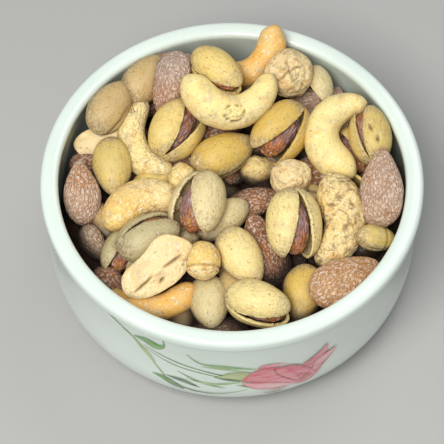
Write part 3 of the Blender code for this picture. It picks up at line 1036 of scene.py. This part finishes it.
def shell_relief(p, at, number, finish, half=False):
    seed = drift("shell", number)
    broad = noise.noise(at * 0.16 + seed)
    blunt = smooth(0.35, 1.0, -p.x)
    wrinkle = ridge(at + seed, 0.7, 0.25, 0.12) * blunt
    grit = noise.noise(at * 1.6 + seed)
    swell = 0.24 * broad - 0.20 * wrinkle + 0.025 * grit
    crease = 0.7 * wrinkle
    if half:
        swell *= smooth(0.0, 0.30, abs(p.y))
    else:
        line = exp(-((at.z / SEAM_WIDTH) ** 2)) * smooth(-0.95, -0.3, p.x)
        swell -= SEAM_DEPTH * line
        crease = max(crease, line)
    if finish == "beaked" and p.z > 0.0:
        cut = slit(p, *BEAK, 0.05)
        swell -= BEAK_DEPTH * cut
        crease = max(crease, cut)
    if finish == "dimpled":
        for start, end in DIMPLES:
            dent = slit(p, start, end, 0.07) if p.z > 0.0 else 0.0
            swell -= DIMPLE_DEPTH * dent
            crease = max(crease, smooth(0.10, 0.80, dent))
    if finish == "collar":
        ring = exp(-(((p.x - COLLAR_X) / COLLAR_WIDTH) ** 2))
        swell -= COLLAR_DEPTH * ring
        crease = max(crease, 0.6 * ring)
    apex = abs(p.y) + 0.25 if half else abs(p.z)
    middle = smooth(0.10, 0.62, apex) * (1.0 - smooth(0.50, 1.0, abs(p.x)))
    blush = min(1.0, max(0.0, middle + 0.5 * broad))
    return swell, min(1.0, crease), blush


# %% Cashew relief
CASHEW_BARE = {"smooth": 0.25, "floury": -0.25, "crumbly": -0.45}
SCAR_X = 0.05
SCAR_Y = 0.15
SCAR_LONG = 17.0
SCAR_WIDE = 5.5
SCAR_R = 2.6
SCAR_LINE = 0.42
SCAR_DEPTH = 0.60
SPLIT_WIDTH = 0.055
SPLIT_DEPTH = 1.3
PIT_X = -0.52
PIT_Y = 0.66
SPLITS = (
    ((-0.66, 0.36), (-0.12, 0.10)),
    ((0.16, 0.06), (0.78, 0.42)),
    ((0.00, 0.46), (0.14, 0.62)),
)


def cashew_relief(p, at, number, finish):
    seed = drift("cashew", number)
    broad = noise.noise(at * 0.16 + seed)
    flour = noise.noise(at * 1.3 + seed)
    dents = noise.noise(at * 0.42 + seed)
    swell = 0.28 * broad + 0.12 * dents + 0.03 * flour
    crease = 0.0
    if finish == "crumbly":
        lumps = noise.noise(at * 0.34 + seed)
        flakes = noise.noise(at * 0.85 - seed)
        crack = ridge(at + seed, 0.30, 0.8, 0.05)
        swell += 0.70 * lumps + 0.34 * flakes + 0.12 * flour - 0.25 * crack
        crease = max(crack, 0.8 * smooth(-0.22, -0.48, flakes))
    if finish == "floury":
        swell += 0.07 * flour
        crease = 0.4 * ridge(at + seed, 1.1, 1.0, 0.12)
    if finish == "scarred" and p.z < 0.0:
        away = hypot(SCAR_LONG * (p.x - SCAR_X), SCAR_WIDE * (p.y - SCAR_Y))
        broken = smooth(-0.24, 0.02, noise.noise(at * 0.9 + seed))
        ring = exp(-(((away - SCAR_R) / SCAR_LINE) ** 2)) * broken
        rays = exp(-((away / (SCAR_R + 0.3)) ** 6)) * ridge(at + seed, 0.8, 1.0, 0.16)
        swell -= SCAR_DEPTH * ring + 0.35 * rays
        crease = max(crease, ring, 0.7 * rays)
    if finish == "split" and p.z > 0.0:
        notch = max(slit(p, start, end, SPLIT_WIDTH) for start, end in SPLITS)
        flecks = smooth(0.0, 0.25, noise.noise(at * 1.2 - seed))
        pit = exp(-((hypot(p.x - PIT_X, p.y - PIT_Y) / 0.20) ** 2)) * flecks
        fold = exp(-(((p.y - 0.10) / 0.06) ** 2)) * (1.0 - abs(p.x))
        swell += 0.22 * fold - SPLIT_DEPTH * notch - 0.30 * pit
        crease = max(smooth(0.10, 0.85, notch), 0.8 * pit)
    bare = 0.6 + 0.9 * broad + CASHEW_BARE.get(finish, 0.0)
    if finish == "half floured":
        bare = 0.5 - 1.6 * p.x + 0.5 * broad
    if finish == "scarred":
        bare = 1.0 - smooth(0.05, 0.80, p.y) + 0.4 * broad
    if finish == "split":
        bare = 0.5 - 0.8 * p.x + 0.9 * broad
    return swell, min(1.0, crease), min(1.0, max(0.0, bare))


# %% Round nut and seed reliefs
CAP_X = -0.45
STAR_DEPTH = 0.40
STAR_SPOKES = (0.5, 1.7, 2.7, 3.9, 5.3)


def round_relief(p, at, number, finish):
    seed = drift("round", number)
    broad = noise.noise(at * 0.20 + seed)
    lumps = noise.noise(at * 0.50 + seed)
    flour = noise.noise(at * 1.5 + seed)
    bare = 0.5 + 0.5 * broad
    if finish == "collar":
        ring = exp(-(((p.x - CAP_X) / COLLAR_WIDTH) ** 2))
        skirt = 1.0 - smooth(-0.56, -0.44, p.x)
        swell = 0.30 * broad + 0.10 * lumps + 0.25 * skirt - COLLAR_DEPTH * ring
        return swell, 0.7 * ring, 1.0 - skirt
    swell = 0.60 * broad + 0.45 * lumps + 0.10 * flour
    crease = 0.4 * ridge(at + seed, 0.4, 1.0, 0.05)
    swell -= 0.12 * crease
    if finish == "star" and p.z > 0.0:
        far = hypot(p.x, p.y)
        heading = atan2(p.y, p.x)
        for spoke in STAR_SPOKES:
            if cos(heading - spoke) <= 0.0:
                continue
            aside = far * sin(heading - spoke + 0.25 * lumps) * 7.0
            groove = exp(-((aside / 0.32) ** 2)) * (1.0 - smooth(0.35, 0.80, far))
            swell -= STAR_DEPTH * groove
            crease = max(crease, groove)
    return swell, min(1.0, crease), bare


def kernel_relief(p, at, number):
    seed = drift("seed", number)
    broad = noise.noise(at * 0.30 + seed)
    fold = ridge(at + seed, 0.55, 0.30, 0.16)
    grit = noise.noise(at * 1.8 + seed)
    ruddy = smooth(-0.1, 0.8, p.x + 0.9 * broad)
    return 0.30 * broad - 0.32 * fold + 0.08 * grit, fold, ruddy


# %% [markdown]
# ## Colours of the nuts
#
# Roasting is uneven, so every nut has its own colour, picked from a small set: shells run from
# grey cream to gold, cashews from cream to honey, and almond skins from a salted rose tan to
# chestnut.

# %% Colours
COLOURS = {
    "rose": tone(214, 178, 150),
    "mauve": tone(206, 178, 162),
    "chestnut": tone(152, 96, 58),
    "amber": tone(222, 168, 108),
    "ash": tone(190, 164, 134),
    "straw": tone(232, 204, 124),
    "stone": tone(214, 198, 148),
    "sand": tone(206, 178, 120),
    "olive": tone(190, 178, 134),
    "yellow": tone(214, 188, 112),
    "tan": tone(200, 172, 118),
    "gold shell": tone(214, 180, 92),
    "cream shell": tone(238, 216, 148),
    "grey cream": tone(226, 208, 156),
    "gold": tone(238, 182, 92),
    "honey": tone(236, 200, 120),
    "biscuit": tone(234, 202, 126),
    "cream": tone(234, 206, 150),
    "butter": tone(244, 222, 148),
    "seed": tone(140, 100, 88),
}

# %% [markdown]
# ## Building a nut
#
# The fine ball is given its form and its relief, and five attributes: the nut's own space in
# millimetres, its colour, its crease and its blush, and a shade that grows where another nut is
# near and far down in the heap. Half shells are cut from a ball by a plane and given a wall
# with solidify, and their rims are levelled, so they show a real edge.

# %% Build helpers
# Painted shade: how far from another nut the shade reaches, the heights over which it turns nearly
# black deep in the heap, and its strength at a touch.
SHADE_REACH = 2.6
DEEP_FROM = 43.0
DEEP_TO = 35.5
CONTACT_SHADE = 0.8
NEIGHBOURS_WITHIN = 50.0


def layers_of(bm):
    points = bm.verts.layers
    return (
        points.float_vector.get("nut_space") or points.float_vector.new("nut_space"),
        points.float_color.get("nut_colour") or points.float_color.new("nut_colour"),
        points.float.get("crease") or points.float.new("crease"),
        points.float.get("blush") or points.float.new("blush"),
        points.float.get("shade") or points.float.new("shade"),
    )


def skinned(bm, form, relief, colour):
    """Give a ball its form, its relief and its attributes."""
    space, tint, crease, blush, _ = layers_of(bm)
    for point in bm.verts:
        p = point.co.copy()
        at = form(p)
        swell, point[crease], point[blush] = relief(p, at)
        point[space] = at
        point[tint] = COLOURS[colour]
        point.co = form(p, swell)
    return bm


def others_tree(own, place):
    """The plain solids of all the nuts near one nut, apart from its own."""
    points = []
    faces = []
    for number, (corners, sides) in enumerate(SHAPES):
        if number == own or (corners[0] - place).length > NEIGHBOURS_WITHIN:
            continue
        start = len(points)
        points += corners
        faces += [[start + corner for corner in side] for side in sides]
    return BVHTree.FromPolygons(points, faces)


def mark_contacts(bm, others):
    """Keep the strength of painted shade at each point, 0 to 1, as the attribute shade: it grows as
    another nut lies nearer and as the point lies deeper in the heap.
    """
    shade = layers_of(bm)[4]
    for point in bm.verts:
        distance = others.find_nearest(point.co, SHADE_REACH)[3]
        near = 0.0 if distance is None else CONTACT_SHADE * (1.0 - distance / SHADE_REACH)
        point[shade] = max(near, 1.0 - smooth(DEEP_TO, DEEP_FROM, point.co.z))


def place_nut(bm, place, turn):
    bmesh.ops.transform(bm, matrix=Matrix.Translation(place) @ turn.to_4x4(), verts=bm.verts)
    return bm


def gather(parts):
    """Join several bmeshes, with their attributes, into one."""
    whole = bmesh.new()
    for bm in parts:
        mesh = bpy.data.meshes.new("part")
        bm.to_mesh(mesh)
        bm.free()
        whole.from_mesh(mesh)
        bpy.data.meshes.remove(mesh)
    return whole


BALL_STEPS = {
    "shell": (60, 44),
    "seed": (48, 40),
    "closed": (64, 52),
    "round": (64, 52),
    "almond": (64, 54),
    "scarred": (112, 150),
    "split": (112, 130),
}
CASHEW_STEPS = (72, 84)
SHELL_WALL = 0.95
RIM_FLAT = 0.14
RIM_GAP = 0.10


def half_shell(length, side, gape, colour, number, finish="plain"):
    """One half of a split shell, with its wall, swung open."""
    bm = ball(*BALL_STEPS["shell"])
    bmesh.ops.bisect_plane(
        bm,
        geom=bm.verts[:] + bm.edges[:] + bm.faces[:],
        plane_co=(0, 0, 0),
        plane_no=(0, side, 0),
        clear_inner=True,
    )
    form = half_form(length, side, closed=False)
    skinned(bm, form, lambda p, at: shell_relief(p, at, number, finish, half=True), colour)
    bmesh.ops.recalc_face_normals(bm, faces=bm.faces)
    if sum(face.normal.dot(face.calc_center_median()) for face in bm.faces) < 0.0:
        bmesh.ops.reverse_faces(bm, faces=bm.faces)
    bmesh.ops.solidify(bm, geom=bm.faces[:], thickness=SHELL_WALL)
    clean = layers_of(bm)[3]
    for point in bm.verts:
        if side * point.co.y < RIM_FLAT:
            point.co.y = side * RIM_GAP
            point[clean] = 1.0
    bmesh.ops.transform(bm, matrix=swing(length, side, gape), verts=bm.verts)
    return bm


def lone_shell(length, colour, number):
    """A single half shell that lies dome up."""
    bm = half_shell(length, 1, 0.0, colour, number)
    flat = Matrix.Rotation(pi / 2, 4, "X")
    low = Matrix.Translation((0.0, 0.0, -THICKNESS["shell"] / 2 * length))
    bmesh.ops.transform(bm, matrix=low @ flat, verts=bm.verts)
    return bm


# %% Build one nut
FACE_POWER = 0.45
RELIEFS = {"almond": almond_relief, "closed": shell_relief, "round": round_relief}


def build_nut(kind, length, angle, colour, finish, number, fine=1.0):
    """The finished shells or bodies of one nut, and its seed if that shows."""
    if kind == "open":
        halves = [half_shell(length, side, angle, colour, number + side, finish) for side in (-1, 1)]
        seed = skinned(
            ball(*BALL_STEPS["seed"]),
            kernel_form(length, angle),
            lambda p, at: kernel_relief(p, at, number),
            "seed",
        )
        return halves, [seed]
    if kind == "shell":
        return [lone_shell(length, colour, number)], []
    if kind in CASHEW_WIDTH:
        form = cashew_form(kind, length, angle, FACE_POWER)
        relief = cashew_relief
    else:
        form = body_form(kind, length)
        relief = RELIEFS[kind]
    around, along = BALL_STEPS.get(finish) or BALL_STEPS.get(kind, CASHEW_STEPS)
    bm = ball(int(around * fine), int(along * fine))
    return [skinned(bm, form, lambda p, at: relief(p, at, number, finish), colour)], []


# %% Build every nut
FLOURY = ("floury", "crumbly", "half floured")
HEAPS = {
    "open": "split_pistachios",
    "shell": "split_pistachios",
    "closed": "shut_pistachios",
    "cashew": "cashews",
    "fat cashew": "cashews",
    "half cashew": "cashews",
    "almond": "almonds",
    "round": "floury_nuts",
}
FILLER_FINENESS = 0.55
piles = {}
for number, (kind, place, turn, length, angle, colour, finish) in enumerate(NUTS + HIDDEN_NUTS):
    fineness = 1.0 if number < len(NUTS) else FILLER_FINENESS
    bodies, seeds = build_nut(kind, length, angle, colour, finish, number, fineness)
    others = others_tree(number, place)
    for bm in bodies + seeds:
        mark_contacts(place_nut(bm, place, turn), others)
    heap = "floury_nuts" if kind in CASHEW_WIDTH and finish in FLOURY else HEAPS[kind]
    piles.setdefault(heap, []).extend(bodies)
    piles.setdefault("pistachio_seeds", []).extend(seeds)
print({name: len(parts) for name, parts in piles.items()})

# %% [markdown]
# ## Finishes of the nuts
#
# All the nut finishes read the attributes: colour comes from the nut, darkens with painted shade
# in its creases, takes a brown painted shade where another nut is near and turns nearly black
# with painted shade far down. What differs is the order of things. On a shell the middle is
# warm, the ends are grey and chalky, and thin brown streaks run lengthwise. On an almond the pale
# salt lies on the cells between the wrinkles. A cashew is smooth and a little waxy, and the
# floury nuts have a dry, cracked crust.

# %% Skin helpers
def new_skin(name, roughness):
    """A nut's material, and the attributes that it reads: its space, colour and blush."""
    material, tree, shader = new_material(name, roughness)
    space = read(tree, "nut_space", "Vector")
    colour = read(tree, "nut_colour", "Color")
    return material, tree, shader, space, colour, read(tree, "blush", "Fac")


def with_painted_shade(tree, shader, body, amount):
    """Add painted shade, brown where another nut is near and nearly black deep down, and give the
    skin's colour to the shader.
    """
    shade = read(tree, "shade", "Fac")
    # Painted shade: brown where another nut is near, nearly black far down in the heap.
    near = summed(tree, "POWER", shade, 1.6)
    body = tinted(tree, body, near, amount, tone(84, 52, 26))
    deep = ranged(tree, shade, 0.70, 1.0)
    body = tinted(tree, body, deep, 0.92, tone(30, 14, 8))
    tree.links.new(body, shader.inputs["Base Color"])


# %% Shell finish
def make_shell():
    material, tree, shader, space, colour, blush = new_skin("pistachio shell", 0.5)
    long_space = stretched(tree, space, (0.28, 1.0, 1.0))
    cloud = patches(tree, space, 0.36, 0.30, 0.70, 6.0)
    middle = summed(tree, "MULTIPLY_ADD", blush, 1.2, -0.5)
    middle = summed(tree, "MULTIPLY_ADD", cloud, 0.8, middle, clamp=True)
    edge = summed(tree, "SUBTRACT", 1.0, middle)
    margin = mixed(tree, 0.55, colour, tone(178, 162, 130))
    body = mixed(tree, middle, margin, colour)
    grit = patches(tree, space, 1.5, 0.47, 0.60, 8.0)
    grey = summed(tree, "MULTIPLY", grit, summed(tree, "MULTIPLY_ADD", edge, 0.42, 0.13))
    body = mixed(tree, grey, body, tone(128, 104, 74))
    streaks = [(1.1, 0.52, 0.68, 6.0, 0.40, tone(186, 140, 72))]
    body = spotted(tree, body, long_space, streaks)
    chalk = summed(tree, "MULTIPLY", patches(tree, space, 0.9, 0.52, 0.64, 8.0), edge)
    body = tinted(tree, body, chalk, 0.50, tone(238, 226, 194))
    specks = [(1.3, 0.66, 0.70, 2.0, 0.70, tone(96, 70, 44))]
    body = spotted(tree, body, space, specks)
    # Painted shade in the creases: the seam, wrinkles, slits, dimples and collar that the relief
    # cuts.
    body = tinted(tree, body, read(tree, "crease", "Fac"), 0.85, tone(88, 60, 36))
    with_painted_shade(tree, shader, body, 0.60)
    tree.links.new(ranged(tree, middle, 0.0, 1.0, 0.80, 0.42), shader.inputs["Roughness"])
    relief = summed(tree, "ADD", grain(tree, long_space, 1.2), grain(tree, space, 2.2))
    bump(tree, shader, relief, 0.16)
    return material


# %% Seed finish
def make_seed():
    material, tree, shader, space, _, ruddy = new_skin("pistachio seed", 0.6)
    long_space = stretched(tree, space, (0.30, 1.0, 1.0))
    body = mixed(tree, ruddy, tone(164, 128, 122), tone(186, 118, 74))
    body = spotted(tree, body, space, [(0.30, 0.56, 0.64, 3.0, 0.6, tone(208, 150, 70))])
    body = spotted(tree, body, long_space, [(1.0, 0.50, 0.66, 6.0, 0.5, tone(96, 60, 50))])
    line, pillow = net(tree, long_space, 0.75, 0.12)
    body = tinted(tree, body, line, 0.55, tone(88, 48, 36))
    # Painted shade in the folds that the relief cuts.
    body = tinted(tree, body, read(tree, "crease", "Fac"), 0.45, tone(70, 40, 30))
    body = spotted(tree, body, long_space, [(0.9, 0.56, 0.66, 7.0, 0.6, tone(214, 194, 186))])
    with_painted_shade(tree, shader, body, 0.45)
    bump(tree, shader, summed(tree, "ADD", grain(tree, long_space, 1.5), pillow), 0.26)
    return material


# %% Almond finish
def make_almond():
    material, tree, shader, space, colour, ruddy = new_skin("almond skin", 0.66)
    long_space = stretched(tree, space, (0.46, 1.0, 1.0))
    line, pillow = net(tree, long_space, 0.92, 0.13)
    fine_line, fine_pillow = net(tree, long_space, 1.7, 0.20)
    body = tinted(tree, colour, ruddy, 0.60, tone(196, 124, 58))
    body = spotted(tree, body, long_space, [(0.4, 0.48, 0.66, 6.0, 0.35, tone(150, 102, 74))])
    body = tinted(tree, body, pillow, 0.42, tone(232, 204, 182))
    body = tinted(tree, body, fine_line, 0.20, tone(140, 98, 72))
    body = tinted(tree, body, line, 0.42, tone(128, 84, 58))
    body = spotted(tree, body, space, [(1.2, 0.52, 0.62, 9.0, 0.60, tone(242, 228, 214))])
    with_painted_shade(tree, shader, body, 0.62)
    bump(tree, shader, summed(tree, "MULTIPLY_ADD", fine_pillow, 0.35, pillow), 0.34)
    return material


# %% Cashew finish
def make_cashew():
    material, tree, shader, space, colour, bare = new_skin("cashew flesh", 0.5)
    pale = mixed(tree, 0.55, colour, tone(232, 216, 168))
    body = mixed(tree, bare, pale, colour)
    body = spotted(tree, body, space, [
        (0.22, 0.50, 0.70, 4.0, 0.42, tone(226, 168, 84)),
        (0.28, 0.52, 0.66, 7.0, 0.55, tone(200, 182, 142)),
    ])
    floured = summed(tree, "MULTIPLY_ADD", bare, -0.7, 1.0)
    grit = summed(tree, "MULTIPLY", patches(tree, space, 1.5, 0.50, 0.62, 8.0), floured)
    body = tinted(tree, body, grit, 0.34, tone(178, 138, 82))
    body = spotted(tree, body, space, [
        (0.8, 0.56, 0.68, 8.0, 0.40, tone(252, 242, 212)),
        (1.1, 0.70, 0.73, 1.0, 0.60, tone(130, 94, 56)),
    ])
    # Painted shade in the creases: the splits, pits and scar that the relief cuts.
    body = tinted(tree, body, read(tree, "crease", "Fac"), 0.85, tone(96, 70, 44))
    with_painted_shade(tree, shader, body, 0.58)
    bump(tree, shader, grain(tree, space, 1.6), 0.20)
    return material


# %% Floury finish
def make_floury():
    material, tree, shader, space, colour, bare = new_skin("floury nut", 0.78)
    line, pillow = net(tree, space, 0.34, 0.05)
    pale = mixed(tree, 0.50, colour, tone(236, 220, 172))
    body = mixed(tree, bare, pale, colour)
    body = spotted(tree, body, space, [
        (0.30, 0.50, 0.62, 6.0, 0.55, tone(218, 164, 92)),
        (0.24, 0.54, 0.66, 7.0, 0.50, tone(188, 172, 138)),
        (1.2, 0.48, 0.60, 8.0, 0.32, tone(176, 142, 94)),
        (0.8, 0.55, 0.63, 8.0, 0.46, tone(250, 238, 204)),
    ])
    rough_part = summed(tree, "SUBTRACT", 1.0, bare, clamp=True)
    broken = summed(tree, "MULTIPLY", line, patches(tree, space, 0.35, 0.48, 0.54, 2.0))
    cracks = summed(tree, "MULTIPLY", broken, rough_part)
    body = tinted(tree, body, cracks, 0.85, tone(104, 74, 44))
    # Painted shade in the creases: the cracks, grooves, star and collar of the relief.
    body = tinted(tree, body, read(tree, "crease", "Fac"), 0.80, tone(108, 76, 44))
    with_painted_shade(tree, shader, body, 0.60)
    relief = summed(tree, "MULTIPLY_ADD", pillow, 0.25, grain(tree, space, 1.1))
    bump(tree, shader, relief, 0.40)
    return material


SHELL = make_shell()
MATERIALS = {
    "split_pistachios": SHELL,
    "shut_pistachios": SHELL,
    "pistachio_seeds": make_seed(),
    "almonds": make_almond(),
    "cashews": make_cashew(),
    "floury_nuts": make_floury(),
}

# %% [markdown]
# ## The heap's core
#
# Far down between the nuts the heap is dark with shade. A low core closes it there: a turned
# disc with a bumpy top that follows the bowl's inside, painted the deep brown of nuts in shadow,
# so its colour is painted shade.

# %% The core
CORE_TOP = 29.5
CORE_RINGS = 16
CORE_STEPS = 72
CORE_EDGE = 1.0
HUMP_HEIGHT = 2.2
HUMP_SCALE = 0.14


def make_core():
    edge_r = WALL_R - WALL - GAP
    top = [(edge_r * ring / CORE_RINGS, CORE_TOP) for ring in range(CORE_RINGS + 1)]
    low = round_stretch(WALL_R - WALL, FOOT_R - FOOT_WIDTH, SHOULDER_Z, FLOOR_TOP, 8)
    side = [(r - GAP, z + GAP) for r, z in low]
    bm = turned(top + side + [(0.0, FLOOR_TOP + GAP)], CORE_STEPS)
    for point in bm.verts:
        far = hypot(point.co.x, point.co.y)
        if abs(point.co.z - CORE_TOP) < 0.01 and far < edge_r - CORE_EDGE:
            spot = Vector((point.co.x, point.co.y, 0.0))
            point.co.z += HUMP_HEIGHT * noise.noise(spot * HUMP_SCALE)
    return bm


def make_painted_shadow():
    material, tree, shader = new_material("nuts in shadow", 0.85)
    place = add(tree, "ShaderNodeTexCoord", {}).outputs["Object"]
    # Painted shadow: a near-black brown with soft patches, for nuts deep in shade.
    body = mixed(tree, patches(tree, place, 160.0, 0.4, 0.65), tone(24, 12, 7), tone(52, 30, 17))
    tree.links.new(body, shader.inputs["Base Color"])
    bump(tree, shader, grain(tree, place, 700.0), 0.4)
    return material


finished("heap_core", make_core(), make_painted_shadow(), "nut_heap")
for name, parts in piles.items():
    finished(name, gather(parts), MATERIALS[name], "nut_heap")

# %% [markdown]
# ## The table
#
# The floor is a plain pale sheet that takes the bowl's soft shadow. It is staging and no part
# of the object.

# %% The table
TABLE_SIZE = 6.0
TABLE_GREY = (0.42, 0.42, 0.41, 1.0)


def make_floor():
    bm = bmesh.new()
    bmesh.ops.create_grid(bm, x_segments=1, y_segments=1, size=TABLE_SIZE / 2)
    mesh = bpy.data.meshes.new("table")
    bm.to_mesh(mesh)
    bm.free()
    floor = bpy.data.objects.new("table", mesh)
    scene.collection.objects.link(floor)
    material, _, shader = new_material("table top", 0.6)
    shader.inputs["Base Color"].default_value = TABLE_GREY
    mesh.materials.append(material)


make_floor()
